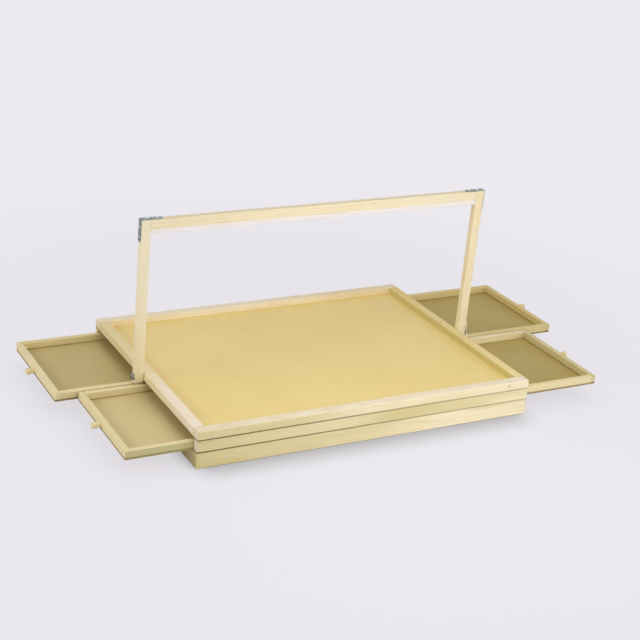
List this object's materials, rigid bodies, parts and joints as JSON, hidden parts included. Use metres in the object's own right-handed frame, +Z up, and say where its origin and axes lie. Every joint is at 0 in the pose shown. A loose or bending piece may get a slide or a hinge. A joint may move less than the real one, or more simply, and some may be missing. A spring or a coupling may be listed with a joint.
{
  "type": "jigsaw puzzle table",
  "caption": "Tabletop jigsaw board on a shallow wooden case, with pull-out sorting drawers at both ends and a folding light arch.",
  "frame": {"origin": "centre of the case's underside", "axes": "+X to the right along the long side, +Y from front to back, +Z up; arch upright, drawers pulled out"},
  "size_m": [1.235, 0.55, 0.4029],
  "materials": {
    "pine": "bare sanded pale pine, matt",
    "arch_pine": "bare sanded pale pine, matt",
    "knob_wood": "turned, bare",
    "hardboard": "smooth golden brown board, matt",
    "drawer_board": "smooth brown hardboard, matt",
    "zinc": "zinc plated, dull grey",
    "steel": "plated steel",
    "strip": "white flexible circuit with light chips",
    "sleeve": "milky diffuser",
    "lead": "white thin lead"
  },
  "bodies": {
    "board": {"top_front_rail": "pine", "top_back_rail": "pine", "top_left_rail": "pine", "top_right_rail": "pine", "work_board": "hardboard", "middle_front_rail": "pine", "middle_back_rail": "pine", "drawer_divider": "pine", "front_cross_stop": "pine", "back_cross_stop": "pine", "base_front_rail": "pine", "base_back_rail": "pine", "base_left_rail": "pine", "base_right_rail": "pine", "base_centre_rail": "pine", "base_deck": "drawer_board", "left_pivot_bolt": "steel", "right_pivot_bolt": "steel", "pivot_washers": "steel", "led_lead_lower": "lead"},
    "arch": {"arch_left_leg": "arch_pine", "arch_right_leg": "arch_pine", "arch_bar": "arch_pine", "led_strip": "strip", "led_sleeve": "sleeve", "left_corner_bracket": "zinc", "right_corner_bracket": "zinc", "bracket_screws": "steel", "led_lead_upper": "lead"},
    "left_back_drawer": {"left_back_drawer_outer_rail": "pine", "left_back_drawer_inner_rail": "pine", "left_back_drawer_front_side": "pine", "left_back_drawer_back_side": "pine", "left_back_drawer_floor": "drawer_board", "left_back_drawer_knob": "knob_wood"},
    "left_front_drawer": {"left_front_drawer_outer_rail": "pine", "left_front_drawer_inner_rail": "pine", "left_front_drawer_front_side": "pine", "left_front_drawer_back_side": "pine", "left_front_drawer_floor": "drawer_board", "left_front_drawer_knob": "knob_wood"},
    "right_back_drawer": {"right_back_drawer_outer_rail": "pine", "right_back_drawer_inner_rail": "pine", "right_back_drawer_front_side": "pine", "right_back_drawer_back_side": "pine", "right_back_drawer_floor": "drawer_board", "right_back_drawer_knob": "knob_wood"},
    "right_front_drawer": {"right_front_drawer_outer_rail": "pine", "right_front_drawer_inner_rail": "pine", "right_front_drawer_front_side": "pine", "right_front_drawer_back_side": "pine", "right_front_drawer_floor": "drawer_board", "right_front_drawer_knob": "knob_wood"}
  },
  "joints": [
    {"name": "arch_fold", "type": "hinge", "parent": "board", "child": "arch", "pos_m": [0, 0, 0.068], "axis": [-1, 0, 0], "range_deg": [-90, 90]},
    {"name": "left_back_drawer_slide", "type": "slide", "parent": "board", "child": "left_back_drawer", "axis": [-1, 0, 0], "range_m": [-0.182, 0.098]},
    {"name": "left_front_drawer_slide", "type": "slide", "parent": "board", "child": "left_front_drawer", "axis": [-1, 0, 0], "range_m": [-0.136, 0.144]},
    {"name": "right_back_drawer_slide", "type": "slide", "parent": "board", "child": "right_back_drawer", "axis": [1, 0, 0], "range_m": [-0.266, 0.014]},
    {"name": "right_front_drawer_slide", "type": "slide", "parent": "board", "child": "right_front_drawer", "axis": [1, 0, 0], "range_m": [-0.191, 0.089]}
  ]
}
